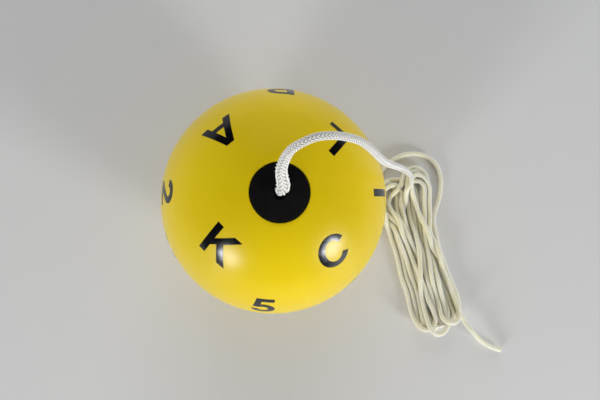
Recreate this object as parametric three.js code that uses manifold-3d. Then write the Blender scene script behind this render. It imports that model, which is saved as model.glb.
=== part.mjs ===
// A hanging vision-training ball: a hollow vinyl ball printed with scattered characters, a rubber plug at
// its top pole, and a braided cord that is knotted under the plug. The cord rises from the plug, arches over
// the ball and is wound into a flat hank that lies beside it, with a short free tail.
//
// Millimetres, +Z up along the ball's pole axis. The origin is the point on the table under the ball.

import * as THREE from 'three';
import { mergeVertices } from 'three/addons/utils/BufferGeometryUtils.js';
import Module from 'manifold-3d';

const wasm = await Module();
wasm.setup();

// ---- driving dimensions ----
const GAP = 0.3; // clearance kept between touching pieces

const BALL_RADIUS = 51; // a 4 inch ball
const BALL_WALL = 2.5;
const REST_RADIUS = 3.2; // the soft wall flattens this far where it stands on a table
const CENTRE_Z = Math.sqrt(BALL_RADIUS ** 2 - REST_RADIUS ** 2);
const BALL_SEGMENTS = 48;
const OUTER_STEPS = 24;
const INNER_STEPS = 12;

const PLUG_RADIUS = 11.2;
const PLUG_LIP_RADIUS = 13.5; // the lip that snaps in behind the wall
const PLUG_LIP_HEIGHT = 2.6;
const PLUG_LIP_CLEARANCE = 0.8; // lip to the wall's inner face
const PLUG_TAPER = 2; // the lip narrows by this much towards its lower edge
const PLUG_BORE_RADIUS = 1.9;
const PLUG_MOUTH_RADIUS = 2.9; // round recess in which the cord flexes
const PLUG_SEGMENTS = 32;

const CORD_RADIUS = 1.4;
const CORD_SIDES = 8;
const CORD_STEP = 6; // length of one straight step of a cord's tube
const KNOT_RADIUS = 4.2;
const FLEX_Z = CENTRE_Z + BALL_RADIUS + 0.5; // the cord flexes about this height on the pole axis

const INK_OFFSET = 0.15; // the ink's inner face over the ball's nominal radius
const INK_THICKNESS = 0.3;
const CAP_HEIGHT = 15;

const HANK_HEIGHT = 18;

// ---- routes of the cord, as it lies ----
const LEAD_ROUTE = [
  [0.4, 0.7, 104], [1, 2, 106.8], [0.6, 3.4, 110], [-0.3, 6.5, 117], [0.8, 9.8, 125], [2.4, 11.5, 130],
  [5, 12.8, 133.5], [9.3, 14.5, 135], [14.2, 15.4, 134], [19.7, 15.8, 130], [25.7, 15.4, 124.5],
  [31.2, 13.7, 117.5], [35.8, 11.9, 110], [40.6, 11.4, 101], [47.3, 11.9, 88], [55.8, 12.7, 70],
  [64, 12.8, 50], [69.4, 11.7, 33], [72.6, 10.4, 20.5],
];

const TAIL_ROUTE = [
  [107.6, -63.6, 6.5], [110, -67.4, 5.6], [115, -72.8, 4.4], [120.7, -76.7, 3.2], [125.8, -78.9, 2.2],
  [128.7, -79.7, 1.6],
];

// The hank's outer shape seen from above: the loose loops of its top end, the neck, the runs, and the folds.
const HANK_OUTLINE = [
  [60, 22], [70, 28], [81, 29.5], [91, 27], [95.5, 19], [94.5, 7], [92, -8], [95.5, -24], [101, -38],
  [105.5, -49], [106.3, -58], [104.5, -66], [97.5, -71], [89, -69.5], [82, -68], [78.5, -57], [75, -44],
  [72, -32], [69, -22], [64.5, -12], [62, -2], [62.5, 6], [58, 13],
];

// ---- printed characters ----
// Each is drawn with its foot at y = 0 and its top at CAP_HEIGHT. A contour holds corner points [x, y] and
// arcs [centre x, centre y, radius x, radius y, from degrees, to degrees]. The first contour is the outline,
// and any other is a hole.
const CHARACTERS = {
  A: [
    [[0, 0], [3.3, 0], [4.3, 3.2], [9.8, 3.2], [10.8, 0], [14.1, 0], [8.85, 15], [5.25, 15]],
    [[5.1, 5.6], [7.05, 11.4], [9, 5.6]],
  ],
  L: [[[0, 0], [9.8, 0], [9.8, 2.5], [3, 2.5], [3, 15], [0, 15]]],
  C: [[[7, 7.5, 6.8, 7.8, 30, 330], [7, 7.5, 3.8, 5.2, 330, 30]]],
  K: [[
    [0, 0], [3, 0], [3, 4.9], [5, 7.1], [9.4, 0], [13.1, 0], [7.2, 9.2], [12.6, 15], [8.9, 15],
    [3, 8.6], [3, 15], [0, 15],
  ]],
  I: [[[0, 0], [3.1, 0], [3.1, 15], [0, 15]]],
  P: [
    [[0, 0], [3, 0], [3, 5.2], [6.4, 5.2], [6.4, 10.1, 5, 4.9, -90, 90], [0, 15]],
    [[3, 7.8], [3, 12.4], [6.2, 10.1, 2.1, 2.3, 90, -90]],
  ],
  2: [[
    [0, 0], [10.2, 0], [10.2, 2.6], [4.3, 2.6], [5, 10.3, 4.9, 4.8, -30, 172],
    [5, 10.3, 2.1, 2.2, 172, -28], [0, 2.4],
  ]],
  5: [[
    [2.2, 15], [9.6, 15], [9.6, 12.4], [4.4, 12.4], [3.9, 9.6], [5, 4.95, 5.1, 4.95, 100, -168],
    [5, 4.95, 2.3, 2.4, -165, 140], [0.8, 7],
  ]],
  E: [[
    [0, 0], [10, 0], [10, 2.5], [3, 2.5], [3, 6.4], [9.2, 6.4], [9.2, 8.8], [3, 8.8], [3, 12.5],
    [9.8, 12.5], [9.8, 15], [0, 15],
  ]],
  7: [[[2.6, 0], [5.9, 0], [10.2, 12.8], [10.2, 15], [0, 15], [0, 12.4], [6.9, 12.4]]],
  H: [[
    [0, 0], [3, 0], [3, 6.3], [8.8, 6.3], [8.8, 0], [11.8, 0], [11.8, 15], [8.8, 15], [8.8, 8.9],
    [3, 8.9], [3, 15], [0, 15],
  ]],
  N: [[
    [0, 0], [2.9, 0], [2.9, 9.9], [8.9, 0], [11.8, 0], [11.8, 15], [8.9, 15], [8.9, 5.1], [2.9, 15],
    [0, 15],
  ]],
  T: [[[4.3, 0], [7.3, 0], [7.3, 12.5], [11.6, 12.5], [11.6, 15], [0, 15], [0, 12.5], [4.3, 12.5]]],
  4: [
    [
      [6, 0], [8.8, 0], [8.8, 3.2], [10.6, 3.2], [10.6, 5.6], [8.8, 5.6], [8.8, 15], [6, 15],
      [0, 5.6], [0, 3.2], [6, 3.2],
    ],
    [[2.9, 5.8], [5.9, 10.6], [5.9, 5.8]],
  ],
  Z: [[
    [0, 0], [11, 0], [11, 2.5], [4, 2.5], [10.8, 12.9], [10.8, 15], [0.5, 15], [0.5, 12.5],
    [7, 12.5], [0, 2.3],
  ]],
  O: [[[7, 7.5, 7, 7.8, 0, 360]], [[7, 7.5, 4, 5.2, 360, 0]]],
  V: [[[5, 0], [8.2, 0], [13.2, 15], [10, 15], [6.6, 4], [3.2, 15], [0, 15]]],
  F: [[
    [0, 0], [3, 0], [3, 6.1], [8.8, 6.1], [8.8, 8.6], [3, 8.6], [3, 12.5], [9.6, 12.5], [9.6, 15],
    [0, 15],
  ]],
  X: [[
    [0, 0], [3.7, 0], [6.5, 4.8], [9.3, 0], [13, 0], [8.4, 7.7], [12.7, 15], [9.1, 15], [6.5, 10.5],
    [3.9, 15], [0.3, 15], [4.6, 7.7],
  ]],
  U: [[
    [0, 15], [5.7, 5.4, 5.7, 5.4, 180, 360], [11.4, 15], [8.4, 15], [5.7, 5.6, 2.7, 3, 360, 180],
    [3, 15],
  ]],
};

// Where each character sits: polar angle from the top pole, azimuth from +X towards +Y, and its own small
// turn on the surface, in degrees. Every character's top points at the top pole.
const PRINTS = [
  ['A', 40.2, 132.5, -5], ['L', 38.2, 46, 2], ['C', 37.5, -46.5, -10], ['K', 36.4, -138, 6],
  ['I', 59.1, 2.6, 2], ['P', 66.7, 88, 0], ['2', 64.7, 177.5, 0], ['5', 63.9, -97, 2],
  ['E', 89, -47, 1], ['7', 89.5, 45, -2], ['H', 89, 134, 2], ['N', 89.5, 204, 0],
  ['T', 115, 1, -2], ['4', 116, 91, 1], ['Z', 115, 179, 2], ['O', 116, -92, 0],
  ['V', 141, 46, 0], ['F', 141, -45, 3], ['X', 141, 135, 0], ['U', 141, -136, -2],
];

// ---- materials ----
const yellowVinyl = new THREE.MeshStandardMaterial({ color: 0xe3c80a, roughness: 0.38, metalness: 0 });
const blackRubber = new THREE.MeshStandardMaterial({ color: 0x121212, roughness: 0.9, metalness: 0 });
const blackInk = new THREE.MeshStandardMaterial({ color: 0x22232a, roughness: 0.3, metalness: 0 });
const whiteBraid = new THREE.MeshStandardMaterial({ color: 0xeeede4, roughness: 0.7, metalness: 0 });

// ---- helpers ----
const radians = THREE.MathUtils.degToRad;

// The geometry as one welded surface of positions, without the zero-area faces that poles and seams leave.
function weld(geometry) {
  const bare = geometry.clone();
  bare.deleteAttribute('normal');
  bare.deleteAttribute('uv');
  const welded = mergeVertices(bare, 1e-5);
  const index = welded.index.array;
  const kept = [];
  for (let i = 0; i < index.length; i += 3) {
    const [a, b, c] = [index[i], index[i + 1], index[i + 2]];
    if (a !== b && b !== c && c !== a) {
      kept.push(a, b, c);
    }
  }
  welded.setIndex(kept);
  return welded;
}

// Six times the signed volume inside a welded surface: negative if its faces point in.
function signedVolume(geometry) {
  const position = geometry.attributes.position;
  const index = geometry.index.array;
  const [a, b, c] = [new THREE.Vector3(), new THREE.Vector3(), new THREE.Vector3()];
  let sum = 0;
  for (let i = 0; i < index.length; i += 3) {
    a.fromBufferAttribute(position, index[i]);
    b.fromBufferAttribute(position, index[i + 1]);
    c.fromBufferAttribute(position, index[i + 2]);
    sum += a.dot(b.cross(c));
  }
  return sum;
}

// A welded surface whose faces point out.
function closed(geometry) {
  const welded = weld(geometry);
  if (signedVolume(welded) < 0) {
    const index = Array.from(welded.index.array);
    for (let i = 0; i < index.length; i += 3) {
      [index[i], index[i + 1]] = [index[i + 1], index[i]];
    }
    welded.setIndex(index);
  }
  return welded;
}

// A body of revolution about Z, from a profile of [radius, z] points that closes on itself or on the axis.
function turned(profile, segments) {
  const points = profile.map(([radius, z]) => new THREE.Vector2(radius, z));
  const lathe = new THREE.LatheGeometry(points, segments);
  lathe.rotateX(Math.PI / 2);
  return closed(lathe);
}

// Points on an arc of radius r about [0, z], at polar angles measured from +Z.
function polarArc(r, z, from, to, steps) {
  return Array.from({ length: steps + 1 }, (_, i) => {
    const angle = from + ((to - from) * i) / steps;
    return [r * Math.sin(angle), z + r * Math.cos(angle)];
  });
}

function toManifold(geometry) {
  return new wasm.Manifold(new wasm.Mesh({
    numProp: 3,
    vertProperties: new Float32Array(geometry.attributes.position.array),
    triVerts: new Uint32Array(geometry.index.array),
  }));
}

function fromManifold(manifold) {
  const mesh = manifold.getMesh();
  const geometry = new THREE.BufferGeometry();
  geometry.setAttribute('position', new THREE.BufferAttribute(new Float32Array(mesh.vertProperties), 3));
  geometry.setIndex(Array.from(mesh.triVerts));
  return geometry;
}

const part = new THREE.Group();

function add(name, geometry, material) {
  const mesh = new THREE.Mesh(geometry, material);
  mesh.name = name;
  part.add(mesh);
}

// ---- the ball ----
const HOLE_RADIUS = PLUG_RADIUS + GAP;
const HOLE_ANGLE = Math.asin(HOLE_RADIUS / BALL_RADIUS);
const REST_ANGLE = Math.PI - Math.asin(REST_RADIUS / BALL_RADIUS);
const INNER_RADIUS = BALL_RADIUS - BALL_WALL;

// One shell: out along the flat it rests on, up the outside to the plug's hole, and down the inside.
function ballShell() {
  const outside = polarArc(BALL_RADIUS, CENTRE_Z, REST_ANGLE, HOLE_ANGLE, OUTER_STEPS);
  const innerHoleAngle = Math.asin(HOLE_RADIUS / INNER_RADIUS);
  const inside = polarArc(INNER_RADIUS, CENTRE_Z, innerHoleAngle, Math.PI, INNER_STEPS);
  inside[inside.length - 1][0] = 0;
  return turned([[0, 0], ...outside, ...inside], BALL_SEGMENTS);
}

// ---- the plug ----
// Flush with the ball outside, with a lip behind the wall, a bore for the cord, and a round mouth.
function cordPlug() {
  const mouthMeetsDome = Math.acos((BALL_RADIUS + CENTRE_Z - FLEX_Z) / PLUG_MOUTH_RADIUS * -1);
  const mouthMeetsBore = Math.PI - Math.asin(PLUG_BORE_RADIUS / PLUG_MOUTH_RADIUS);
  const mouthEdgeRadius = PLUG_MOUTH_RADIUS * Math.sin(mouthMeetsDome);
  const domeFrom = Math.asin(mouthEdgeRadius / BALL_RADIUS);
  const domeTo = Math.asin(PLUG_RADIUS / BALL_RADIUS);
  const lipTop = CENTRE_Z + Math.sqrt(INNER_RADIUS ** 2 - PLUG_LIP_RADIUS ** 2) - PLUG_LIP_CLEARANCE;
  const lipBottom = lipTop - PLUG_LIP_HEIGHT;
  const mouth = polarArc(PLUG_MOUTH_RADIUS, FLEX_Z, mouthMeetsBore, mouthMeetsDome, 4);
  const dome = polarArc(BALL_RADIUS, CENTRE_Z, domeFrom, domeTo, 4);
  const profile = [
    ...mouth.slice(0, -1),
    ...dome,
    [PLUG_RADIUS, lipTop],
    [PLUG_LIP_RADIUS, lipTop],
    [PLUG_LIP_RADIUS - PLUG_TAPER, lipBottom],
    [PLUG_BORE_RADIUS, lipBottom],
  ];
  return { geometry: turned([...profile, profile[0]], PLUG_SEGMENTS), bottom: lipBottom };
}

// ---- the cord ----
// Its inner end: the knot under the plug and the stretch that passes up the bore, ending round.
function stopperKnot(plugBottom) {
  const knotZ = plugBottom - GAP - KNOT_RADIUS;
  const knotMeetsCord = Math.asin(CORD_RADIUS / KNOT_RADIUS);
  const knot = polarArc(KNOT_RADIUS, knotZ, Math.PI, knotMeetsCord, 8);
  const tip = polarArc(CORD_RADIUS, FLEX_Z, Math.PI / 2, 0, 4);
  knot[0][0] = 0;
  tip[tip.length - 1][0] = 0;
  return turned([...knot, ...tip], 16);
}

// A stretch of cord as a plain tube along a route.
function cordTube(route) {
  const curve = new THREE.CatmullRomCurve3(route.map((p) => new THREE.Vector3(...p)), false, 'centripetal');
  const section = new THREE.Shape();
  section.absarc(0, 0, CORD_RADIUS, 0, 2 * Math.PI, false);
  const steps = Math.round(curve.getLength() / CORD_STEP);
  return closed(new THREE.ExtrudeGeometry(section, {
    steps,
    curveSegments: CORD_SIDES / 2,
    bevelEnabled: false,
    extrudePath: curve,
  }));
}

// The outer shape of the wound hank.
function cordHank() {
  const points = HANK_OUTLINE.map(([x, y]) => new THREE.Vector3(x, y, 0));
  const outline = new THREE.CatmullRomCurve3(points, true, 'centripetal').getPoints(2 * points.length);
  const shape = new THREE.Shape(outline.slice(0, -1).map((p) => new THREE.Vector2(p.x, p.y)));
  return closed(new THREE.ExtrudeGeometry(shape, { depth: HANK_HEIGHT, bevelEnabled: false }));
}

// ---- the printed characters ----
function trace(contour, path) {
  contour.forEach((item, i) => {
    if (item.length > 2) {
      const [x, y, rx, ry, from, to] = item;
      path.absellipse(x, y, rx, ry, radians(from), radians(to), to < from);
    } else if (i === 0) {
      path.moveTo(...item);
    } else {
      path.lineTo(...item);
    }
  });
  return path;
}

// The thin spherical layer that all the ink lies in. Its facets run parallel to the ball's.
function inkLayer() {
  const inner = BALL_RADIUS + INK_OFFSET;
  const outer = inner + INK_THICKNESS;
  const outside = polarArc(outer, CENTRE_Z, REST_ANGLE, HOLE_ANGLE, OUTER_STEPS);
  const inside = polarArc(inner, CENTRE_Z, HOLE_ANGLE, REST_ANGLE, OUTER_STEPS);
  return toManifold(turned([...outside, ...inside, outside[0]], BALL_SEGMENTS));
}

// One character: its outline as a straight prism through the ball's surface, cut down to the ink layer.
function printedCharacter(character, polar, azimuth, turn, layer) {
  const [outline, ...holes] = CHARACTERS[character];
  const shape = trace(outline, new THREE.Shape());
  shape.holes = holes.map((hole) => trace(hole, new THREE.Path()));
  const reach = CAP_HEIGHT / 3;
  const prism = new THREE.ExtrudeGeometry(shape, { depth: 2 * reach, curveSegments: 10, bevelEnabled: false });
  prism.center();
  prism.translate(0, 0, BALL_RADIUS);
  prism.rotateZ(radians(turn));
  // the character's right runs towards larger azimuth, and its top towards the top pole
  const [p, a] = [radians(polar), radians(azimuth)];
  const right = new THREE.Vector3(-Math.sin(a), Math.cos(a), 0);
  const outward = new THREE.Vector3(Math.sin(p) * Math.cos(a), Math.sin(p) * Math.sin(a), Math.cos(p));
  const up = new THREE.Vector3().crossVectors(outward, right);
  prism.applyMatrix4(new THREE.Matrix4().makeBasis(right, up, outward));
  prism.translate(0, 0, CENTRE_Z);
  return fromManifold(toManifold(closed(prism)).intersect(layer));
}

// ---- assembly ----
const plug = cordPlug();
add('ball_shell', ballShell(), yellowVinyl);
add('cord_plug', plug.geometry, blackRubber);
add('stopper_knot', stopperKnot(plug.bottom), whiteBraid);
add('cord_lead', cordTube(LEAD_ROUTE), whiteBraid);
add('cord_hank', cordHank(), whiteBraid);
add('cord_tail', cordTube(TAIL_ROUTE), whiteBraid);

const layer = inkLayer();
for (const [character, polar, azimuth, turn] of PRINTS) {
  add(`print_${character}`, printedCharacter(character, polar, azimuth, turn, layer), blackInk);
}

export default part;
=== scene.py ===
import math

import bpy
import numpy as np
from mathutils import Matrix, Vector, geometry


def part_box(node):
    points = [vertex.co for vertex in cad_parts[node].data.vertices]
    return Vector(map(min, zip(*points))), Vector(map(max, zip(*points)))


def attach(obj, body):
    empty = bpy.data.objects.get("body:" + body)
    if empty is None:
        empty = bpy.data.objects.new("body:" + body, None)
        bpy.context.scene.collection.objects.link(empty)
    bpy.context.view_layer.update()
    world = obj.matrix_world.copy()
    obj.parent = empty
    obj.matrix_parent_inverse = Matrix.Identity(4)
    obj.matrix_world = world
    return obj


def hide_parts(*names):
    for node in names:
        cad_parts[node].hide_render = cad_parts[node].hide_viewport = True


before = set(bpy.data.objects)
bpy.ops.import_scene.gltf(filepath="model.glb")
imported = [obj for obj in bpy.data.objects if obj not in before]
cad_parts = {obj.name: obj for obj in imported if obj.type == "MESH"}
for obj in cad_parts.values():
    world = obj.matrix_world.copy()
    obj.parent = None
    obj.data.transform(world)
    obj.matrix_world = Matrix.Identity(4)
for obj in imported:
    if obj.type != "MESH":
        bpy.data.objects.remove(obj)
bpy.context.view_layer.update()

# A hanging vision-training ball: a yellow vinyl ball printed with single characters, a black rubber plug at
# its top pole, and one length of white braided cord that arches over the ball and lies beside it in a flat
# hank. Everything is in metres, in the CAD model's frame.

MM = 0.001
shell_low, shell_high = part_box("ball_shell")
plug_low, plug_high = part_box("cord_plug")

# ---- driving dimensions ----
BALL_RADIUS = (shell_high.x - shell_low.x) / 2
BALL_WALL = 2.5 * MM
REST_RADIUS = 3.2 * MM  # the soft wall is flat this far out where it stands
CENTRE_Z = math.sqrt(BALL_RADIUS ** 2 - REST_RADIUS ** 2)
BALL_CENTRE = Vector((0, 0, CENTRE_Z))
PLUG_RADIUS = 11.2 * MM
PLUG_GAP = 0.3 * MM
PLUG_LIP_RADIUS = (plug_high.x - plug_low.x) / 2
PLUG_LIP_HEIGHT = 2.6 * MM
PLUG_BORE_RADIUS = 1.9 * MM
PLUG_MOUTH_RADIUS = 2.9 * MM
FLEX_Z = CENTRE_Z + BALL_RADIUS + 0.5 * MM  # the cord flexes about this height on the pole axis
CORD_RADIUS = 1.4 * MM
CORD_DIAMETER = 2 * CORD_RADIUS


# ---- camera, floor and light ----
CAMERA_SPOT = Vector((-10.0, -16.6, 305.7)) * MM
CAMERA_AIM = Vector((11.7, 0.4, 51.9)) * MM
CAMERA_LENS = 33.2  # millimetres, for the usual 36 mm wide film
ROOM_LOW = 0.71  # brightness of the room at the level of the table
ROOM_HIGH = 0.26  # and overhead
ROOM_HIGH_FROM = 0.7  # it is down to ROOM_HIGH at this height of direction, where 1 is straight up
ROOM_COLOUR = (0.97, 0.98, 1.0, 1)
# Name, azimuth and elevation in degrees, distance and size in metres, power in watts, seen in reflections.
LAMPS = [
    ("window_left", -129, 14, 1.6, 0.40, 11.5, True),
    ("window_right", -40, 14, 1.6, 0.40, 14.0, True),
    ("back_wall", 90, 24, 3.0, 2.4, 33.0, False),
]
FLOOR_REACH = 3.0  # half the side of the floor


def facing(spot, aim):
    """The placing of a camera or lamp at spot that looks at aim, with its right as near +X as may be."""
    back = (spot - aim).normalized()
    right = Vector((0, 1, 0)).cross(back).normalized()
    up = back.cross(right)
    turn = Matrix((right, up, back)).transposed().to_4x4()
    return Matrix.Translation(spot) @ turn


def add_camera():
    data = bpy.data.cameras.new("camera")
    data.lens = CAMERA_LENS
    data.clip_start = 0.01
    camera = bpy.data.objects.new("camera", data)
    camera.matrix_world = facing(CAMERA_SPOT, CAMERA_AIM)
    bpy.context.scene.collection.objects.link(camera)
    bpy.context.scene.camera = camera


def add_lamp(name, azimuth, elevation, distance, size, power, mirrored):
    """A square soft light, aimed at the ball. Azimuth runs from +X towards +Y."""
    a, e = math.radians(azimuth), math.radians(elevation)
    way = Vector((math.cos(a) * math.cos(e), math.sin(a) * math.cos(e), math.sin(e)))
    data = bpy.data.lights.new(name, "AREA")
    data.size = size
    data.energy = power
    lamp = bpy.data.objects.new(name, data)
    lamp.matrix_world = facing(BALL_CENTRE + way * distance, BALL_CENTRE)
    lamp.visible_camera = False
    lamp.visible_glossy = mirrored
    bpy.context.scene.collection.objects.link(lamp)


def add_world():
    """A pale room: dim overhead, and brighter towards the level of the table all round."""
    world = bpy.data.worlds.new("soft_room")
    world.use_nodes = True
    tree = world.node_tree
    background = tree.nodes["Background"]
    background.inputs["Color"].default_value = ROOM_COLOUR
    place = tree.nodes.new("ShaderNodeTexCoord")
    split = tree.nodes.new("ShaderNodeSeparateXYZ")
    grade = tree.nodes.new("ShaderNodeMapRange")
    grade.interpolation_type = "SMOOTHERSTEP"
    grade.inputs["From Min"].default_value = 0.0
    grade.inputs["From Max"].default_value = ROOM_HIGH_FROM
    grade.inputs["To Min"].default_value = ROOM_LOW
    grade.inputs["To Max"].default_value = ROOM_HIGH
    tree.links.new(place.outputs["Generated"], split.inputs[0])
    tree.links.new(split.outputs["Z"], grade.inputs["Value"])
    tree.links.new(grade.outputs["Result"], background.inputs["Strength"])
    bpy.context.scene.world = world
    world.cycles_visibility.glossy = False  # only the windows show as reflections


# ---- material helpers ----
class Shader:
    """A Principled material and short calls that add nodes to it."""

    def __init__(self, name):
        self.material = bpy.data.materials.new(name)
        self.material.use_nodes = True
        self.tree = self.material.node_tree
        self.surface = self.tree.nodes["Principled BSDF"]

    def set(self, **values):
        for key, value in values.items():
            self.surface.inputs[key.replace("_", " ")].default_value = value

    def link(self, source, target):
        self.tree.links.new(source, target)

    def drive(self, socket, source):
        self.link(source, self.surface.inputs[socket])

    def node(self, kind, **settings):
        made = self.tree.nodes.new(kind)
        for key, value in settings.items():
            setattr(made, key, value)
        return made

    def place(self):
        return self.node("ShaderNodeTexCoord").outputs["Object"]

    def noise(self, scale, detail=3.0, roughness=0.5, place=None):
        made = self.node("ShaderNodeTexNoise")
        made.inputs["Scale"].default_value = scale
        made.inputs["Detail"].default_value = detail
        made.inputs["Roughness"].default_value = roughness
        self.link(place or self.place(), made.inputs["Vector"])
        return made.outputs["Fac"]

    def spread(self, value, low, high, to_low=0.0, to_high=1.0):
        made = self.node("ShaderNodeMapRange")
        made.inputs["From Min"].default_value = low
        made.inputs["From Max"].default_value = high
        made.inputs["To Min"].default_value = to_low
        made.inputs["To Max"].default_value = to_high
        self.link(value, made.inputs["Value"])
        return made.outputs["Result"]

    def mix(self, share, first, second):
        """Between two colours, each an RGB tuple or a colour output."""
        made = self.node("ShaderNodeMix", data_type="RGBA")
        self.link(share, made.inputs["Factor"])
        for socket, colour in ((made.inputs[6], first), (made.inputs[7], second)):
            if isinstance(colour, tuple):
                socket.default_value = (*colour, 1)
            else:
                self.link(colour, socket)
        return made.outputs[2]

    def math(self, operation, first, second=None):
        made = self.node("ShaderNodeMath", operation=operation)
        for socket, value in zip(made.inputs, (first, second)):
            if value is None:
                continue
            if isinstance(value, (int, float)):
                socket.default_value = value
            else:
                self.link(value, socket)
        return made.outputs[0]

    def bump(self, height, distance, strength=1.0, under=None):
        made = self.node("ShaderNodeBump")
        made.inputs["Distance"].default_value = distance
        made.inputs["Strength"].default_value = strength
        self.link(height, made.inputs["Height"])
        if under is not None:
            self.link(under, made.inputs["Normal"])
        return made.outputs["Normal"]


def vinyl_material():
    s = Shader("yellow_vinyl")
    cloud = s.spread(s.noise(28, 4), 0.35, 0.7)
    fresh = s.mix(cloud, (0.86, 0.635, 0.0008), (0.81, 0.588, 0.0008))
    s.drive("Base Color", fresh)
    s.drive("Roughness", s.spread(s.noise(25, 1), 0.3, 0.7, 0.26, 0.30))
    s.set(Specular_IOR_Level=0.30)
    return s.material


def rubber_material():
    s = Shader("black_rubber")
    speck = s.spread(s.noise(1900, 2, 0.6), 0.70, 0.76)
    bloom = s.mix(s.spread(s.noise(180, 5), 0.4, 0.7), (0.0035, 0.0035, 0.0038), (0.0060, 0.0060, 0.0063))
    s.drive("Base Color", s.mix(speck, bloom, (0.05, 0.05, 0.048)))
    s.drive("Roughness", s.spread(s.noise(700, 4), 0.3, 0.7, 0.70, 0.86))
    s.set(Specular_IOR_Level=0.14)
    s.drive("Normal", s.bump(s.noise(2400, 6, 0.65), 0.05 * MM, 0.7))
    return s.material


def ink_material():
    s = Shader("black_ink")
    thin = s.spread(s.noise(420, 6, 0.7), 0.45, 0.75)
    s.drive("Base Color", s.mix(thin, (0.0030, 0.0030, 0.0042), (0.0065, 0.0065, 0.0085)))
    s.drive("Roughness", s.spread(s.noise(600, 3), 0.3, 0.7, 0.14, 0.19))
    s.set(Specular_IOR_Level=0.50, Specular_Tint=(0.90, 0.93, 1.0, 1.0))
    s.drive("Normal", s.bump(s.noise(1500, 3), 0.004 * MM, 0.4))
    return s.material


def floor_material():
    s = Shader("pale_table")
    s.drive("Base Color", s.mix(s.noise(4, 3), (0.765, 0.77, 0.78), (0.795, 0.795, 0.795)))
    s.drive("Roughness", s.spread(s.noise(60, 4), 0.3, 0.7, 0.50, 0.60))
    s.drive("Normal", s.bump(s.noise(900, 3), 0.02 * MM, 0.3))
    return s.material


# ---- the braid, as a relief on the cord and in its material ----
COLUMNS = 8  # columns of stitches round the cord, slanting left and right in turn
COLUMN_SHIFT = 0.5  # every other column lies this share of a stitch farther on
STITCH = 1.2 * MM  # from one stitch to the next along a column of the closed braid
SLANT = 0.85  # stitches that a strand moves along while it crosses one column
RELIEF = 0.28  # depth of the relief, as a share of the cord's radius
EDGE_HEIGHT = 0.45  # a stitch's height at the side of its column, and
GAP_HEIGHT = 0.05  # between it and the next, as shares of its full height
NO_BOUNCE_ABOVE = 45 * MM  # the cord takes no painted yellow bounce from the ball over this height,
FULL_BOUNCE_BELOW = 22.5 * MM  # and the painted yellow bounce is full below this height, down in the hank


def braid_relief(stitch, column):
    """Height of the braid from 0 to 1, at stitches along and columns round."""
    which = np.floor(column + 1e-6)
    across = column - which - 0.5
    odd = which % 2
    along = stitch + (1 - 2 * odd) * SLANT * across + COLUMN_SHIFT * odd
    ridge = EDGE_HEIGHT + (1 - EDGE_HEIGHT) * np.cos(math.pi * across)
    return ridge * (GAP_HEIGHT + (1 - GAP_HEIGHT) * (0.5 + 0.5 * np.cos(2 * math.pi * along)))


def braid_material():
    s = Shader("white_braid")
    uv = s.node("ShaderNodeUVMap", uv_map="stitches").outputs["UV"]
    split = s.node("ShaderNodeSeparateXYZ")
    s.link(uv, split.inputs[0])
    stitch, column = split.outputs[0], split.outputs[1]
    across = s.math("SUBTRACT", s.math("FRACT", column), 0.5)
    odd = s.math("FLOORED_MODULO", s.math("FLOOR", column), 2)
    side = s.math("SUBTRACT", 1, s.math("MULTIPLY", odd, 2))
    shift = s.math("MULTIPLY", s.math("MULTIPLY", across, side), SLANT)
    along = s.math("ADD", s.math("ADD", stitch, shift), s.math("MULTIPLY", odd, COLUMN_SHIFT))
    wave = s.math("COSINE", s.math("MULTIPLY", along, 2 * math.pi))
    ridge = s.spread(s.math("COSINE", s.math("MULTIPLY", across, math.pi)), 0, 1, EDGE_HEIGHT, 1)
    height = s.math("MULTIPLY", ridge, s.spread(wave, -1, 1, GAP_HEIGHT, 1))
    up = s.node("ShaderNodeSeparateXYZ")
    s.link(s.place(), up.inputs[0])
    # Painted reflected light: down in the hank the cord's colour is tinted yellow in place of light bounced
    # off the ball. This mask is 1 up the lead and 0 in the hank.
    above_bounce = s.spread(up.outputs[2], FULL_BOUNCE_BELOW, NO_BOUNCE_ABOVE)
    # painted yellow bounce from the ball, patchy over the hank's strands
    painted_bounce = s.mix(s.spread(s.noise(48, 3), 0.36, 0.66), (0.99, 0.985, 0.95), (0.98, 0.955, 0.80))
    strand = s.mix(above_bounce, painted_bounce, (0.95, 0.945, 0.91))
    # Painted shade in the grooves between stitches, picked by the stitches' height: dark grey on the lead,
    # and on the hank a lighter painted shade tinted with painted yellow bounce from the ball.
    groove_shade_bounce = s.mix(above_bounce, (0.94, 0.88, 0.58), (0.38, 0.365, 0.32))
    s.drive("Base Color", s.mix(s.spread(height, 0.10, 0.45), groove_shade_bounce, strand))
    s.set(Roughness=0.42, Sheen_Weight=0.35, Sheen_Roughness=0.4, Specular_IOR_Level=0.5)
    s.drive("Subsurface Weight", s.spread(above_bounce, 0, 1, 0.7, 0.05))
    s.set(Subsurface_Scale=2.0 * MM, Subsurface_Radius=(1.0, 0.9, 0.6))
    fibre_place = s.node("ShaderNodeCombineXYZ")
    s.link(s.math("MULTIPLY", along, 2.0), fibre_place.inputs[0])
    s.link(s.math("MULTIPLY", across, 26.0), fibre_place.inputs[1])
    fibres = s.noise(1.0, 2, 0.5, fibre_place.outputs[0])
    weave = s.bump(height, 0.22 * MM, 0.8)
    s.drive("Normal", s.bump(fibres, 0.05 * MM, 0.5, weave))
    return s.material


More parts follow.
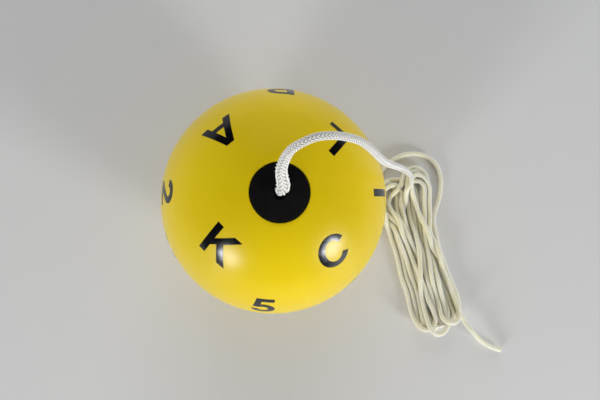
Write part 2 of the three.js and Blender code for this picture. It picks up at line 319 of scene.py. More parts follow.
# ---- the cord's route, in millimetres ----
# Its free stretch, from the top of the ball over to the hank, and its dive between the hank's two bundles.
LEAD_ROUTE = [
    (0.4, 0.7, 104), (1, 2, 106.8), (0.6, 3.4, 110), (-0.3, 6.5, 117), (0.8, 9.8, 125), (2.4, 11.5, 130),
    (5, 12.8, 133.5), (9.3, 14.5, 135), (14.2, 15.4, 134), (19.7, 15.8, 130), (25.7, 15.4, 124.5),
    (31.2, 13.7, 117.5), (35.8, 11.9, 110), (40.6, 11.4, 101), (47.3, 11.9, 88), (55.8, 12.7, 70),
    (64, 12.8, 50), (69.4, 11.7, 33), (72.6, 10.4, 20.5),
]
DIVE_ROUTE = [(74.2, 9.4, 10), (74.6, 6.0, 4), (73.8, 0, 1.8)]
TAIL_ROUTE = [
    (104.2, -56, 8.2), (107.0, -63.2, 6.5), (110, -67.4, 5.6), (115, -72.8, 4.4), (120.7, -76.7, 3.2),
    (125.8, -78.9, 2.2), (128.7, -79.7, 1.6),
]
# The hank's left and right edges at stations down its length.
STATION_Y = (4, -12, -24, -37, -50, -60)
LEFT_X = (63.5, 65.5, 70.3, 73.6, 77.4, 80.4)
RIGHT_X = (86.5, 90.5, 93.5, 98.2, 103.0, 104.6)
# Each pass goes down one run and up the next: where they lie across the hank's width, at its top and
# its foot, from 0 at the left edge to 1 at the right.
DOWN_TOP = (0.30, 1.06, 0.10, 0.18, 0.03, 0.92, 0.84, 0.86, 0.80)
DOWN_FOOT = (0.44, 0.98, 0.16, 0.32, 0.00, 0.86, 0.66, 0.54, 0.95)
UP_TOP = (0.12, 0.76, 0.27, 0.36, 0.22, 0.70, 0.63, 0.88)
UP_FOOT = (0.04, 0.58, 0.56, 0.72, 0.40, 0.46, 0.26, 0.94)
# How far each pass reaches down, and the fold at the top that joins it to the next one.
FOOT_Y = (-65, -62.5, -68.5, -66, -67.5, -65, -70.5, -64.5)
TOP_FOLDS = [
    [(61, 2, 2), (59, 14, 2), (67.5, 26, 2), (80, 30.5, 2), (92, 26.5, 2), (96, 16, 2), (94.6, 4, 2)],
    [(83.5, 3, 7), (81.5, 10.5, 8), (75, 15, 7), (66, 14, 6), (58, 7, 5), (58.5, -3, 6)],
    [(72.0, 1, 9), (71.0, 9.5, 9), (65.5, 14.2, 8), (58.5, 9.5, 8), (58.8, 0, 9)],
    [(73.5, 0, 13), (72.8, 9.5, 12), (67, 13.0, 11), (60.5, 8.5, 11), (61.5, -0.5, 13)],
    [(65.0, -1, 15), (66.5, 6.0, 16), (72.2, 11.0, 17), (75.5, 19.5, 18), (82.5, 23.2, 18), (87.0, 17, 17),
     (86.5, 6, 16)],
    [(79.5, -1, 18), (77.5, 8.5, 19), (76.4, 17.0, 20), (81.6, 21.0, 21), (86.2, 15, 20), (84.5, 5, 19)],
    [(78.2, -2, 21), (76.6, 6.5, 21), (78.4, 14.5, 22), (83.6, 15.2, 22), (85.6, 6, 22)],
    [(88.0, -6, 24), (87.5, 3, 24), (86.8, 14.0, 24), (81.4, 19.0, 25), (76.8, 14.0, 25), (79.2, 6.0, 25),
     (82.0, -2, 25)],
]
RUN_Y = (-8, -18, -28, -38, -48)
PASSES = len(TOP_FOLDS)
FIRST_HEIGHT = 1.6  # each pass is laid this high and LAYER higher than the last, and then let down
LAYER = 3.0
FOOT_FOLD_RADIUS = 5.2
FOOT_FOLD_LIFT = 1
FOOT_FOLD_STEPS = 5
RUN_WANDER = 0.5  # a run strays this far to each side of its straight line
WANDER_SEED = 11
LAST_RUN_DROP = 3.2  # the last run comes down this much from one station to the next


def respaced(line, step):
    """The line again, with points the same distance apart, about step."""
    along = np.concatenate([[0], np.cumsum(np.linalg.norm(np.diff(line, axis=0), axis=1))])
    at = np.linspace(0, along[-1], round(along[-1] / step) + 1)
    return np.stack([np.interp(at, along, line[:, k]) for k in range(3)], axis=1)


def smooth_curve(points, step):
    """A centripetal Catmull-Rom curve through the points, as points about step apart."""
    p = np.array(points, float)
    p = np.vstack([2 * p[0] - p[1], p, 2 * p[-1] - p[-2]])
    stretches = []
    for a, b, c, d in zip(p[:-3], p[1:-2], p[2:-1], p[3:]):
        t1 = np.linalg.norm(b - a) ** 0.5
        t2 = t1 + np.linalg.norm(c - b) ** 0.5
        t3 = t2 + np.linalg.norm(d - c) ** 0.5
        count = max(2, int(2 * np.linalg.norm(c - b) / step))
        t = np.linspace(t1, t2, count, endpoint=False)[:, None]
        ab = (t1 - t) / t1 * a + t / t1 * b
        bc = (t2 - t) / (t2 - t1) * b + (t - t1) / (t2 - t1) * c
        cd = (t3 - t) / (t3 - t2) * c + (t - t2) / (t3 - t2) * d
        abc = (t2 - t) / t2 * ab + t / t2 * bc
        bcd = (t3 - t) / (t3 - t1) * bc + (t - t1) / (t3 - t1) * cd
        stretches.append((t2 - t) / (t2 - t1) * abc + (t - t1) / (t2 - t1) * bcd)
    return respaced(np.vstack([*stretches, p[-2:-1]]), step)


def across_hank(y, share):
    """The place across the hank at y that lies this share of its width from its left edge."""
    left = np.interp(-y, [-s for s in STATION_Y], LEFT_X)
    right = np.interp(-y, [-s for s in STATION_Y], RIGHT_X)
    return left + (right - left) * share


def foot_fold(turn, height):
    """The half circle at the foot of a pass, from its down run round to its up run."""
    y = FOOT_Y[turn] + FOOT_FOLD_RADIUS
    middle = across_hank(y, (DOWN_FOOT[turn] + UP_FOOT[turn]) / 2)
    middle = max(middle, across_hank(y, 0) + FOOT_FOLD_RADIUS)
    middle = min(middle, across_hank(y, 1) - FOOT_FOLD_RADIUS)
    side = 1 if DOWN_FOOT[turn] > UP_FOOT[turn] else -1
    return [
        (
            middle + side * FOOT_FOLD_RADIUS * math.cos(bend),
            y - FOOT_FOLD_RADIUS * math.sin(bend),
            height + FOOT_FOLD_LIFT,
        )
        for bend in np.linspace(0, math.pi, FOOT_FOLD_STEPS)
    ]


def hank_route():
    """The hank as it is wound: down one run, round a fold, up the next run and over a fold at the top."""
    wander = np.random.default_rng(WANDER_SEED)
    points = []
    for turn in range(PASSES + 1):
        height = FIRST_HEIGHT + LAYER * turn
        last = turn == PASSES
        for k, y in enumerate(RUN_Y):
            share = np.interp(k, (0, len(RUN_Y) - 1), (DOWN_TOP[turn], DOWN_FOOT[turn]))
            x = across_hank(y, share) + wander.uniform(-RUN_WANDER, RUN_WANDER)
            points.append((x, y, height - (LAST_RUN_DROP * k if last else 0)))
        if last:
            break
        points.extend(foot_fold(turn, height))
        for k, y in reversed(list(enumerate(RUN_Y))):
            share = np.interp(k, (0, len(RUN_Y) - 1), (UP_TOP[turn], UP_FOOT[turn]))
            x = across_hank(y, share) + wander.uniform(-RUN_WANDER, RUN_WANDER)
            points.append((x, y, height + LAYER / 4))
        points.extend(TOP_FOLDS[turn])
    return points


# ---- letting the hank settle ----
SETTLE_STEP = 1.4 * MM  # the cord is a chain of points this far apart
SETTLE_ROUNDS = 300
TIGHTEST_BEND = 1.8 * CORD_DIAMETER
HOLD = 0.08  # how strongly friction keeps a point over the place where it was laid
FALL = 0.20 * MM  # how far the cord comes down in a round, and
LAST_FALL = 0.05 * MM  # in the last rounds, from
LAST_FALL_FROM = 0.7  # this share of them on
NEAR = 1.6 * CORD_DIAMETER  # pairs of points within this distance are kept apart
NEAR_EVERY = 4  # the rounds after which those pairs are looked for again
FIXES_A_ROUND = 6
STIFFNESS = 0.06  # the share of its bow that a short stretch gives up at a time
NEIGHBOURS = 5  # points fewer steps apart along the cord than this aren't pushed apart
SMOOTHINGS = 2


def push_apart(p, free, i, j, least, share):
    """The moves that push apart the points i, j of each pair that is nearer than least."""
    d = p[j] - p[i]
    length = np.maximum(np.linalg.norm(d, axis=1), 1e-6)[:, None]
    weight = free[i] + free[j] + 1e-9
    push = share * d / length * np.maximum(0, least - length) / weight
    return -push * free[i], push * free[j]


def keep_bends_open(p, free, n):
    """No bend is tighter than the cord allows: points along it stay a least distance apart."""
    index = np.arange(n)
    for k in (2, 4):
        least = 2 * TIGHTEST_BEND * math.sin(k * SETTLE_STEP / TIGHTEST_BEND)
        for start in range(2 * k):
            i = index[start:n - 2 * k:2 * k]
            j = i + 2 * k
            back, on = push_apart(p, free, i, j, least, 0.5)
            p[i] += back
            p[j] += on
    bow = (p[:-4] + p[4:]) / 2 - p[2:-2]
    p[2:-2] += STIFFNESS * bow * free[2:-2]
    p[:-4] -= STIFFNESS / 2 * bow * free[:-4]
    p[4:] -= STIFFNESS / 2 * bow * free[4:]


def keep_clear(p, free, pairs):
    """Stretches that touch are pushed a diameter apart."""
    i, j = pairs
    near = np.linalg.norm(p[j] - p[i], axis=1) < CORD_DIAMETER
    i, j = i[near], j[near]
    back, on = push_apart(p, free, i, j, CORD_DIAMETER, 0.5)
    move, touches = np.zeros_like(p), np.zeros(len(p))
    np.add.at(move, i, back)
    np.add.at(move, j, on)
    np.add.at(touches, i, 1)
    np.add.at(touches, j, 1)
    p += move / np.maximum(1, touches / 2)[:, None]


def keep_length(p, free, n, step):
    """Neighbours stay one step apart, so that the cord neither stretches nor shrinks."""
    index = np.arange(n)
    for odd in (0, 1, 0, 1, 0, 1):
        i = index[odd:n - 1:2]
        d = p[i + 1] - p[i]
        length = np.linalg.norm(d, axis=1)[:, None]
        pull = d / length * (length - step) / (free[i] + free[i + 1] + 1e-9)
        p[i] += pull * free[i]
        p[i + 1] -= pull * free[i + 1]


def near_pairs(p, within):
    """Pairs of points within a distance of each other that aren't neighbours along the cord."""
    square = (p ** 2).sum(1)
    apart = square[:, None] + square[None, :] - 2 * p @ p.T
    return np.nonzero(np.triu(apart < within ** 2, NEIGHBOURS))


def settled(line, held):
    """The line as it comes to lie, by gravity, its thickness and stiffness, the floor and the ball."""
    p = line.copy()
    n = len(p)
    step = float(np.linalg.norm(np.diff(line, axis=0), axis=1).mean())
    free = (~held).astype(float)[:, None]
    centre = np.array(BALL_CENTRE)
    clear_of_ball = BALL_RADIUS + CORD_RADIUS
    for turn in range(SETTLE_ROUNDS):
        p[:, 2] -= (FALL if turn < LAST_FALL_FROM * SETTLE_ROUNDS else LAST_FALL) * free[:, 0]
        if turn % NEAR_EVERY == 0:
            pairs = near_pairs(p, NEAR)
        p[:, :2] += HOLD * (line[:, :2] - p[:, :2]) * free
        for _ in range(FIXES_A_ROUND):
            keep_bends_open(p, free, n)
            keep_clear(p, free, pairs)
            keep_length(p, free, n, step)
            p[:, 2] = np.where(held, p[:, 2], np.maximum(p[:, 2], CORD_RADIUS))
            away = p - centre
            distance = np.linalg.norm(away, axis=1)[:, None]
            p += np.maximum(0, clear_of_ball - distance) * away / distance * free
    for _ in range(SMOOTHINGS):
        p[1:-1] += 0.5 * ((p[:-2] + p[2:]) / 2 - p[1:-1]) * free[1:-1]
    return p


BASE_RADIUS = 2.35 * MM  # the braid is pushed open just above the plug
NECK_RADIUS = 1.35 * MM  # and is narrow where it goes into its hole
FOOT_DEPTH = 2.3 * MM  # the outer cord begins this far under the point about which it flexes
NECK_AT = 2.9 * MM  # the narrow neck's length
SLACK_RADIUS = 0.94 * CORD_RADIUS  # the mean of the relief's hills and valleys


def cord_centreline():
    """The whole cord's middle line. Its lead and the end of its tail are held, and the hank settles."""
    foot = (0, 0, (FLEX_Z - FOOT_DEPTH) / MM)
    start = [foot, (0, 0, FLEX_Z / MM), *LEAD_ROUTE]
    route = [*start, *DIVE_ROUTE, *hank_route(), *TAIL_ROUTE]
    line = smooth_curve(np.array(route) * MM, SETTLE_STEP)
    held = np.zeros(len(line), bool)
    lead_points = len(smooth_curve(np.array(start) * MM, SETTLE_STEP))
    tail_points = len(smooth_curve(np.array(TAIL_ROUTE) * MM, SETTLE_STEP))
    held[:lead_points + 1] = True
    held[-3 * tail_points // 5:] = True
    return settled(line, held)


# ---- the cord's surface ----
OPEN_LENGTH = 42 * MM  # the braid closes up to its own thickness over this length
FINE_LENGTH = 205 * MM  # the free stretch has finer rings
FINE_STEP = STITCH / 5
FINE_SIDES = 32
COARSE_STEP = STITCH / 2
COARSE_SIDES = 16
OPEN_PITCH = 1.6  # the stitches lengthen with this power of the radius where the braid is open
OPEN_RELIEF = 0.5  # and the relief is this much deeper there
FLARE = 0.22  # the cut end is wider by this share of the radius
FLARE_LENGTH = 3 * MM


def ring_stations(total):
    """Distances along the cord of its rings, and the number of sides of each."""
    fine = np.arange(0, FINE_LENGTH, FINE_STEP)
    coarse = np.arange(fine[-1] + COARSE_STEP, total, COARSE_STEP)
    sides = np.concatenate([np.full(len(fine), FINE_SIDES), np.full(len(coarse), COARSE_SIDES)])
    return np.concatenate([fine, coarse]), sides


def carried_frames(centres):
    """A direction square to the line at each point, turning as little as it can along it."""
    tangents = np.gradient(centres, axis=0)
    tangents /= np.linalg.norm(tangents, axis=1)[:, None]
    normals = np.zeros_like(centres)
    normal = np.cross(tangents[0], [0.0, 1.0, 0.0])
    for k, tangent in enumerate(tangents):
        normal = normal - tangent * (normal @ tangent)
        normal /= np.linalg.norm(normal)
        normals[k] = normal
    return normals, np.cross(tangents, normals)


def body_radius(at, total):
    """The cord's radius without its relief: round at the foot, open over the plug, flared at its end."""
    closing = np.clip(at / OPEN_LENGTH, 0, 1)
    open_radius = SLACK_RADIUS + (BASE_RADIUS - SLACK_RADIUS) * (1 - closing * closing * (3 - 2 * closing))
    above_neck = np.clip((at - NECK_AT) / BASE_RADIUS, 0, 1)
    bulge = np.sqrt(1 - (1 - above_neck) ** 2)
    radius = NECK_RADIUS + (open_radius - NECK_RADIUS) * bulge
    in_foot = np.clip(at / NECK_RADIUS, 0.004, 1)
    radius *= np.sqrt(1 - (1 - in_foot) ** 2)
    return radius * (1 + FLARE * np.clip((at - total + FLARE_LENGTH) / FLARE_LENGTH, 0, 1) ** 2)


def tube_mesh(name, centres, at, sides, radius, relief):
    """A closed tube of rings with the braid's relief on it, and with its stitches as texture places."""
    normals, others = carried_frames(centres)
    starts = np.concatenate([[0], np.cumsum(sides)])
    pitch = STITCH * np.maximum(radius / SLACK_RADIUS, 1) ** OPEN_PITCH
    stitch = np.concatenate([[0], np.cumsum(2 * np.diff(at) / (pitch[1:] + pitch[:-1]))])
    points, places = [], []
    for k in range(len(centres)):
        columns = np.arange(sides[k]) * COLUMNS / sides[k]
        height = braid_relief(stitch[k], columns)
        r = radius[k] * (1 + relief[k] * (height - 0.5))
        angle = 2 * math.pi * columns / COLUMNS
        ring = np.cos(angle)[:, None] * normals[k] + np.sin(angle)[:, None] * others[k]
        points.append(centres[k] + r[:, None] * ring)
        places.append(columns)
    vertices = np.vstack([*points, centres[:1], centres[-1:]])
    columns = np.concatenate([*places, [0, 0]])
    stitches = np.concatenate([np.repeat(stitch, sides), stitch[[0, -1]]])
    faces = []
    for k in range(len(centres) - 1):
        a, b = starts[k], starts[k + 1]
        here, there = sides[k], sides[k + 1]
        ratio = here // there
        for j in range(there):
            far = (j + 1) % there
            near = [a + (j * ratio + m) % here for m in range(ratio + 1)]
            faces.append([*near, b + far, b + j])
    first, last = len(vertices) - 2, len(vertices) - 1
    faces += [[first, (j + 1) % sides[0], j] for j in range(sides[0])]
    end = starts[-2]
    faces += [[last, end + j, end + (j + 1) % sides[-1]] for j in range(sides[-1])]
    return make_object(name, vertices, faces, stitches, columns)


def make_object(name, vertices, faces, stitches=None, columns=None):
    """A smooth mesh object. Stitches and columns, one of each for a vertex, become its texture places."""
    mesh = bpy.data.meshes.new(name)
    mesh.from_pydata([tuple(v) for v in vertices], [], faces)
    mesh.polygons.foreach_set("use_smooth", np.ones(len(mesh.polygons), bool))
    if stitches is not None:
        corner = np.zeros(len(mesh.loops), np.int32)
        mesh.loops.foreach_get("vertex_index", corner)
        u, v = stitches[corner], columns[corner]
        owner = np.zeros(len(mesh.loops), np.int32)
        for polygon in mesh.polygons:
            owner[polygon.loop_start:polygon.loop_start + polygon.loop_total] = polygon.index
        widest = np.zeros(len(mesh.polygons))
        np.maximum.at(widest, owner, v)
        v = np.where((widest[owner] > COLUMNS * 0.75) & (v < COLUMNS * 0.25), v + COLUMNS, v)
        layer = mesh.uv_layers.new(name="stitches")
        layer.data.foreach_set("uv", np.stack([u, v], axis=1).astype(np.float32).ravel())
    mesh.update()
    made = bpy.data.objects.new(name, mesh)
    bpy.context.scene.collection.objects.link(made)
    return made


def braided_cord(material):
    line = cord_centreline()
    fine_line = smooth_curve(line, FINE_STEP / 2)
    along = np.concatenate([[0], np.cumsum(np.linalg.norm(np.diff(fine_line, axis=0), axis=1))])
    at, sides = ring_stations(along[-1])
    centres = np.stack([np.interp(at, along, fine_line[:, k]) for k in range(3)], axis=1)
    opening = 1 - np.clip(at / OPEN_LENGTH, 0, 1)
    relief = RELIEF * (1 + OPEN_RELIEF * opening)
    cord = tube_mesh("braided_cord", centres, at, sides, body_radius(at, along[-1]), relief)
    cord.data.materials.append(material)
    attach(cord, "cord")
    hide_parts("cord_lead", "cord_hank", "cord_tail")
    return cord


add_camera()
add_world()
for lamp in LAMPS:
    add_lamp(*lamp)
braided_cord(braid_material())


# ---- the ball ----
BALL_SEGMENTS = 160
BALL_RINGS = 96
INNER_RINGS = 40
ROUNDING_STEPS = 6
HOLE_RADIUS = PLUG_RADIUS + PLUG_GAP
EDGE_ROUND = 0.45 * MM
SAG = 0.05 * MM  # soft vinyl is never a perfect sphere
SAG_DEPTH = 0.5 * MM  # only the wall's outermost layer takes the dents,
STEADY_BELOW = 2 * MM  # and none of it does this near the table
STEADY_FADE = 4 * MM


def arc(radius, z, from_angle, to_angle, steps):
    """Points [r, z] on an arc about the axis, at polar angles measured from +Z."""
    angles = np.linspace(from_angle, to_angle, steps + 1)
    return [(radius * math.sin(a), z + radius * math.cos(a)) for a in angles]


def lathe(name, profile, segments, stir=None):
    """A body of revolution about Z from a closed profile of [r, z] points, those on the axis joined up."""
    angles = 2 * math.pi * np.arange(segments) / segments
    vertices, rows, faces = [], [], []
    for r, z in profile:
        if r < 1e-7:
            rows.append([len(vertices)] * segments)
            vertices.append((0, 0, z))
        else:
            rows.append(list(range(len(vertices), len(vertices) + segments)))
            vertices += [(r * math.cos(a), r * math.sin(a), z) for a in angles]
    for near, far in zip(rows, rows[1:] + rows[:1]):
        for j in range(segments):
            k = (j + 1) % segments
            corners = [near[j], near[k], far[k], far[j]]
            face = [c for i, c in enumerate(corners) if c != corners[i - 1]]
            if len(set(face)) > 2:
                faces.append(face)
    vertices = np.array(vertices)
    if stir is not None:
        vertices = stir(vertices)
    return make_object(name, vertices, faces)


def soft_sphere(vertices):
    """Very shallow wide dents in the outer surface, so that highlights aren't those of a perfect sphere."""
    away = vertices - np.array(BALL_CENTRE)
    distance = np.linalg.norm(away, axis=1)[:, None]
    way = away / distance
    dent = np.sin(3.1 * way[:, 0] + 0.4) * np.sin(2.7 * way[:, 1] - 0.8)
    dent += 0.6 * np.sin(5.3 * way[:, 2] + way[:, 0])
    outer = np.clip((distance[:, 0] - BALL_RADIUS + SAG_DEPTH) / SAG_DEPTH, 0, 1)
    steady = np.clip((vertices[:, 2] - STEADY_BELOW) / STEADY_FADE, 0, 1)
    return vertices - way * (SAG * 0.5 * (1 + dent / 1.6) * outer * steady)[:, None]


def ball_vinyl(material):
    """The hollow ball, with a hole for the plug at its top pole, and a small flat where it stands."""
    rest = math.pi - math.asin(REST_RADIUS / BALL_RADIUS)
    edge = math.asin((HOLE_RADIUS + EDGE_ROUND) / BALL_RADIUS)
    inner = BALL_RADIUS - BALL_WALL
    hole_top = CENTRE_Z + BALL_RADIUS * math.cos(edge)
    rounding = [
        (HOLE_RADIUS + EDGE_ROUND * (1 - math.sin(t)), hole_top - EDGE_ROUND * 0.7 * (1 - math.cos(t)))
        for t in np.linspace(0, math.pi / 2, ROUNDING_STEPS)[1:]
    ]
    profile = [
        (0, 0),
        (REST_RADIUS * 0.7, 0),
        *arc(BALL_RADIUS, CENTRE_Z, rest, edge, BALL_RINGS),
        *rounding,
        *arc(inner, CENTRE_Z, math.asin(HOLE_RADIUS / inner), math.pi, INNER_RINGS),
    ]
    profile[-1] = (0, profile[-1][1])
    ball = lathe("ball_vinyl", profile, BALL_SEGMENTS, soft_sphere)
    ball.data.materials.append(material)
    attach(ball, "ball")
    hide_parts("ball_shell")


# ---- the plug ----
PLUG_SEGMENTS = 96
PLUG_EDGE_ROUND = 0.5 * MM
PLUG_SET_BACK = 0.02 * MM  # its dome lies this far under the ball's surface
MOUTH_EDGE = 0.35 * MM


def plug_rubber(material):
    """A domed plug, with a round mouth for the cord and a lip behind the wall."""
    mouth_edge = math.acos((CENTRE_Z + BALL_RADIUS - FLEX_Z) / PLUG_MOUTH_RADIUS)
    mouth_bottom = math.pi - math.asin(PLUG_BORE_RADIUS / PLUG_MOUTH_RADIUS)
    mouth = arc(PLUG_MOUTH_RADIUS, FLEX_Z, mouth_bottom, mouth_edge, 12)
    dome_from = math.asin((mouth[-1][0] + MOUTH_EDGE) / BALL_RADIUS)
    dome_to = math.asin((PLUG_RADIUS - PLUG_EDGE_ROUND) / BALL_RADIUS)
    dome = arc(BALL_RADIUS - PLUG_SET_BACK, CENTRE_Z, dome_from, dome_to, 36)
    rim_z = dome[-1][1]
    rim = [
        (PLUG_RADIUS - PLUG_EDGE_ROUND * (1 - math.sin(t)), rim_z - PLUG_EDGE_ROUND * (1 - math.cos(t)))
        for t in np.linspace(0, math.pi / 2, ROUNDING_STEPS)[1:]
    ]
    lip_bottom = plug_low.z
    lip_top = lip_bottom + PLUG_LIP_HEIGHT
    profile = [
        *mouth,
        *dome,
        *rim,
        (PLUG_RADIUS, lip_top + 0.5 * MM),
        (PLUG_RADIUS + 0.4 * MM, lip_top),
        (PLUG_LIP_RADIUS - 0.3 * MM, lip_top),
        (PLUG_LIP_RADIUS, lip_top - 0.3 * MM),
        (PLUG_LIP_RADIUS - 2.0 * MM, lip_bottom + 0.2 * MM),
        (PLUG_LIP_RADIUS - 2.4 * MM, lip_bottom),
        (PLUG_BORE_RADIUS + 0.3 * MM, lip_bottom),
        (PLUG_BORE_RADIUS, lip_bottom + 0.3 * MM),
    ]
    plug = lathe("plug_rubber", profile, PLUG_SEGMENTS)
    plug.data.materials.append(material)
    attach(plug, "ball")
    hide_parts("cord_plug")


# ---- the knot inside ----
KNOT_SIDES = 16
KNOT_HEIGHT = 1.75 * MM  # half of how far the loops of the knot lie over one another
KNOT_CORD = 0.92  # the cord's radius where it is pulled tight, as a share of its own


def stopper_knot(material):
    """The cord's inner end: up the bore from an overhand knot that lies against the plug's under side."""
    knot_low, knot_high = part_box("stopper_knot")
    knot_radius = (knot_high.x - knot_low.x) / 2
    knot_z = knot_low.z + knot_radius
    turns = np.linspace(0.62, 2 * math.pi - 0.10, 90)
    size = (knot_radius + 0.6 * MM - CORD_RADIUS) / 3
    loop = np.stack([
        size * (np.sin(turns) + 2 * np.sin(2 * turns)),
        size * (np.cos(turns) - 2 * np.cos(2 * turns)),
        -KNOT_HEIGHT * np.sin(3 * turns),
    ], axis=1)
    tipped = loop[:, [1, 2, 0]] + [0, 0, knot_z]
    rise_heights = (knot_z + knot_radius - 0.5 * MM, FLEX_Z - 6 * MM, FLEX_Z - FOOT_DEPTH)
    rise = np.array([[0, 0, z] for z in rise_heights])
    line = smooth_curve(np.vstack([tipped[::4], rise]), COARSE_STEP)
    at = np.arange(len(line)) * COARSE_STEP
    sides = np.full(len(line), KNOT_SIDES)
    radius = np.full(len(line), CORD_RADIUS * KNOT_CORD)
    knot = tube_mesh("knotted_end", line, at, sides, radius, np.full(len(line), RELIEF))
    knot.data.materials.append(material)
    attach(knot, "cord_end")
    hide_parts("stopper_knot")


# ---- the printed characters ----
# Each is drawn with its foot at y = 0, in millimetres. A contour holds corner points (x, y) and arcs
# (centre x, centre y, radius x, radius y, from degrees, to degrees). The first contour is the outline, and
# any others are holes.
CHARACTERS = {
    "A": [
        [(0, 0), (3.3, 0), (4.3, 3.2), (9.8, 3.2), (10.8, 0), (14.1, 0), (8.85, 15), (5.25, 15)],
        [(5.1, 5.6), (7.05, 11.4), (9, 5.6)],
    ],
    "L": [[(0, 0), (9.8, 0), (9.8, 2.5), (3, 2.5), (3, 15), (0, 15)]],
    "C": [[(7, 7.5, 6.8, 7.8, 30, 330), (7, 7.5, 3.8, 5.2, 330, 30)]],
    "K": [[
        (0, 0), (3, 0), (3, 4.9), (5, 7.1), (9.4, 0), (13.1, 0), (7.2, 9.2), (12.6, 15), (8.9, 15),
        (3, 8.6), (3, 15), (0, 15),
    ]],
    "I": [[(0, 0), (3.1, 0), (3.1, 15), (0, 15)]],
    "P": [
        [(0, 0), (3, 0), (3, 5.2), (6.4, 5.2), (6.4, 10.1, 5, 4.9, -90, 90), (0, 15)],
        [(3, 7.8), (3, 12.4), (6.2, 10.1, 2.1, 2.3, 90, -90)],
    ],
    "2": [[
        (0, 0), (10.2, 0), (10.2, 2.6), (4.3, 2.6), (5, 10.3, 4.9, 4.8, -30, 172),
        (5, 10.3, 2.1, 2.2, 172, -28), (0, 2.4),
    ]],
    "5": [[
        (2.2, 15), (9.6, 15), (9.6, 12.4), (4.4, 12.4), (3.9, 9.6), (5, 4.95, 5.1, 4.95, 100, -168),
        (5, 4.95, 2.3, 2.4, -165, 140), (0.8, 7),
    ]],
    "E": [[
        (0, 0), (10, 0), (10, 2.5), (3, 2.5), (3, 6.4), (9.2, 6.4), (9.2, 8.8), (3, 8.8), (3, 12.5),
        (9.8, 12.5), (9.8, 15), (0, 15),
    ]],
    "7": [[(2.6, 0), (5.9, 0), (10.2, 12.8), (10.2, 15), (0, 15), (0, 12.4), (6.9, 12.4)]],
    "H": [[
        (0, 0), (3, 0), (3, 6.3), (8.8, 6.3), (8.8, 0), (11.8, 0), (11.8, 15), (8.8, 15), (8.8, 8.9),
        (3, 8.9), (3, 15), (0, 15),
    ]],
    "N": [[
        (0, 0), (2.9, 0), (2.9, 9.9), (8.9, 0), (11.8, 0), (11.8, 15), (8.9, 15), (8.9, 5.1), (2.9, 15),
        (0, 15),
    ]],
    "T": [[(4.3, 0), (7.3, 0), (7.3, 12.5), (11.6, 12.5), (11.6, 15), (0, 15), (0, 12.5), (4.3, 12.5)]],
    "4": [
        [
            (6, 0), (8.8, 0), (8.8, 3.2), (10.6, 3.2), (10.6, 5.6), (8.8, 5.6), (8.8, 15), (6, 15),
            (0, 5.6), (0, 3.2), (6, 3.2),
        ],
        [(2.9, 5.8), (5.9, 10.6), (5.9, 5.8)],
    ],
    "Z": [[
        (0, 0), (11, 0), (11, 2.5), (4, 2.5), (10.8, 12.9), (10.8, 15), (0.5, 15), (0.5, 12.5),
        (7, 12.5), (0, 2.3),
    ]],
    "O": [[(7, 7.5, 7, 7.8, 0, 360)], [(7, 7.5, 4, 5.2, 360, 0)]],
    "V": [[(5, 0), (8.2, 0), (13.2, 15), (10, 15), (6.6, 4), (3.2, 15), (0, 15)]],
    "F": [[
        (0, 0), (3, 0), (3, 6.1), (8.8, 6.1), (8.8, 8.6), (3, 8.6), (3, 12.5), (9.6, 12.5), (9.6, 15),
        (0, 15),
    ]],
    "X": [[
        (0, 0), (3.7, 0), (6.5, 4.8), (9.3, 0), (13, 0), (8.4, 7.7), (12.7, 15), (9.1, 15), (6.5, 10.5),
        (3.9, 15), (0.3, 15), (4.6, 7.7),
    ]],
    "U": [[
        (0, 15), (5.7, 5.4, 5.7, 5.4, 180, 360), (11.4, 15), (8.4, 15), (5.7, 5.6, 2.7, 3, 360, 180),
        (3, 15),
    ]],
}

# Polar angle from the top pole, azimuth from +X towards +Y, and each one's own small turn, in degrees.
PRINTS = [
    ("A", 40.2, 132.5, -5), ("L", 38.2, 46, 2), ("C", 37.5, -46.5, -10), ("K", 36.4, -138, 6),
    ("I", 59.1, 2.6, 2), ("P", 66.7, 88, 0), ("2", 64.7, 177.5, 0), ("5", 63.9, -97, 2),
    ("E", 89, -47, 1), ("7", 89.5, 45, -2), ("H", 89, 134, 2), ("N", 89.5, 204, 0),
    ("T", 115, 1, -2), ("4", 116, 91, 1), ("Z", 115, 179, 2), ("O", 116, -92, 0),
    ("V", 141, 46, 0), ("F", 141, -45, 3), ("X", 141, 135, 0), ("U", 141, -136, -2),
]
ARC_STEP = 6  # degrees
EDGE_STEP = 0.6  # millimetres
FILL_STEP = 1.0
INK_TOP = 0.06 * MM  # heights over the ball's surface
INK_EDGE = 0.05 * MM
INK_FOOT = -0.12 * MM
INK_SHARP = math.radians(40)  # edges that turn more than this stay sharp


def outline_points(contour):
    """A contour as a closed run of points, its arcs in small steps and its long edges divided."""
    corners = []
    for item in contour:
        if len(item) == 2:
            corners.append(np.array(item, float))
            continue
        x, y, rx, ry, start, stop = item
        steps = max(2, round(abs(stop - start) / ARC_STEP))
        for angle in np.radians(np.linspace(start, stop, steps + 1)):
            corners.append(np.array([x + rx * math.cos(angle), y + ry * math.sin(angle)]))
    if np.linalg.norm(corners[0] - corners[-1]) < 1e-6:
        corners.pop()
    points = []
    for a, b in zip(corners, corners[1:] + corners[:1]):
        steps = max(1, math.ceil(np.linalg.norm(b - a) / EDGE_STEP))
        points += [a + (b - a) * k / steps for k in range(steps)]
    return np.array(points)


def inside(point, loops):
    """True where a point is inside the outline and outside its holes, by counting crossings."""
    crossings = 0
    for loop in loops:
        x, y = loop[:, 0], loop[:, 1]
        x2, y2 = np.roll(x, -1), np.roll(y, -1)
        spans = (y > point[1]) != (y2 > point[1])
        at = x[spans] + (point[1] - y[spans]) / (y2[spans] - y[spans]) * (x2[spans] - x[spans])
        crossings += int((at > point[0]).sum())
    return crossings % 2 == 1


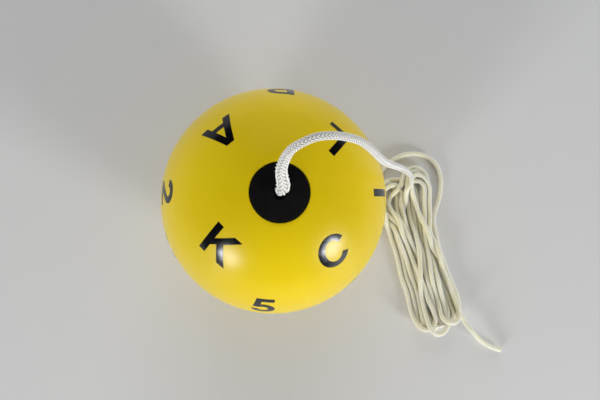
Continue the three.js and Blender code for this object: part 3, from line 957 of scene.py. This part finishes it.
def flat_character(character):
    """The character's flat triangles, with points inside as well, so that it can follow the ball."""
    loops = [outline_points(contour) for contour in CHARACTERS[character]]
    low, high = np.vstack(loops).min(0), np.vstack(loops).max(0)
    loops = [loop - (low + high) / 2 for loop in loops]
    points, edges = [], []
    for loop in loops:
        first = len(points)
        points += [tuple(p) for p in loop]
        edges += [(first + k, first + (k + 1) % len(loop)) for k in range(len(loop))]
    rim = np.array(points)
    half = (high - low) / 2
    for x in np.arange(-half[0], half[0], FILL_STEP):
        for y in np.arange(-half[1], half[1], FILL_STEP):
            clear = np.linalg.norm(rim - (x, y), axis=1).min() > FILL_STEP / 2
            if clear and inside((x, y), loops):
                points.append((x, y))
    found = geometry.delaunay_2d_cdt([Vector(p) for p in points], edges, [], 0, 1e-5)
    flat = np.array([tuple(p) for p in found[0]])
    triangles = [f for f in found[2] if inside(flat[list(f)].mean(0), loops)]
    return flat, triangles


def ink_mesh(character, polar, azimuth, turn):
    """One character as a thin slab of ink that follows the ball, with its head towards the pole."""
    flat, triangles = flat_character(character)
    p, a, t = math.radians(polar), math.radians(azimuth), math.radians(turn)
    right = np.array([-math.sin(a), math.cos(a), 0])
    outward = np.array([math.sin(p) * math.cos(a), math.sin(p) * math.sin(a), math.cos(p)])
    up = np.cross(outward, right)
    x = (flat[:, 0] * math.cos(t) - flat[:, 1] * math.sin(t)) * MM
    y = (flat[:, 0] * math.sin(t) + flat[:, 1] * math.cos(t)) * MM
    ends = {(i, j): True for face in triangles for i, j in zip(face, face[1:] + face[:1])}
    rim = {i for (i, j) in ends if (j, i) not in ends}
    level = np.array([INK_EDGE if i in rim else INK_TOP for i in range(len(flat))])
    vertices = []
    for rise in (level, np.full(len(flat), INK_FOOT)):
        deep = np.sqrt((BALL_RADIUS + rise) ** 2 - x ** 2 - y ** 2)
        layer = x[:, None] * right + y[:, None] * up + deep[:, None] * outward
        vertices.append(layer + np.array(BALL_CENTRE))
    count = len(flat)
    sides = [[j, i, i + count, j + count] for i, j in ends if (j, i) not in ends]
    top = [list(f) for f in triangles]
    bottom = [[i + count for i in reversed(f)] for f in triangles]
    ink = make_object(f"ink_{character}", np.vstack(vertices), top + bottom + sides)
    ink.data.set_sharp_from_angle(angle=INK_SHARP)
    return ink


def printed_characters(material):
    for character, polar, azimuth, turn in PRINTS:
        ink = ink_mesh(character, polar, azimuth, turn)
        ink.data.materials.append(material)
        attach(ink, "ball")
        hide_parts(f"print_{character}")


# ---- the floor ----
def pale_floor(material):
    corners = [(x * FLOOR_REACH, y * FLOOR_REACH, 0) for x, y in ((-1, -1), (1, -1), (1, 1), (-1, 1))]
    floor = make_object("floor", np.array(corners, float), [[0, 1, 2, 3]])
    floor.data.materials.append(material)


bpy.context.scene.view_settings.view_transform = "Standard"
braid = bpy.data.materials["white_braid"]
ball_vinyl(vinyl_material())
plug_rubber(rubber_material())
stopper_knot(braid)
printed_characters(ink_material())
pale_floor(floor_material())
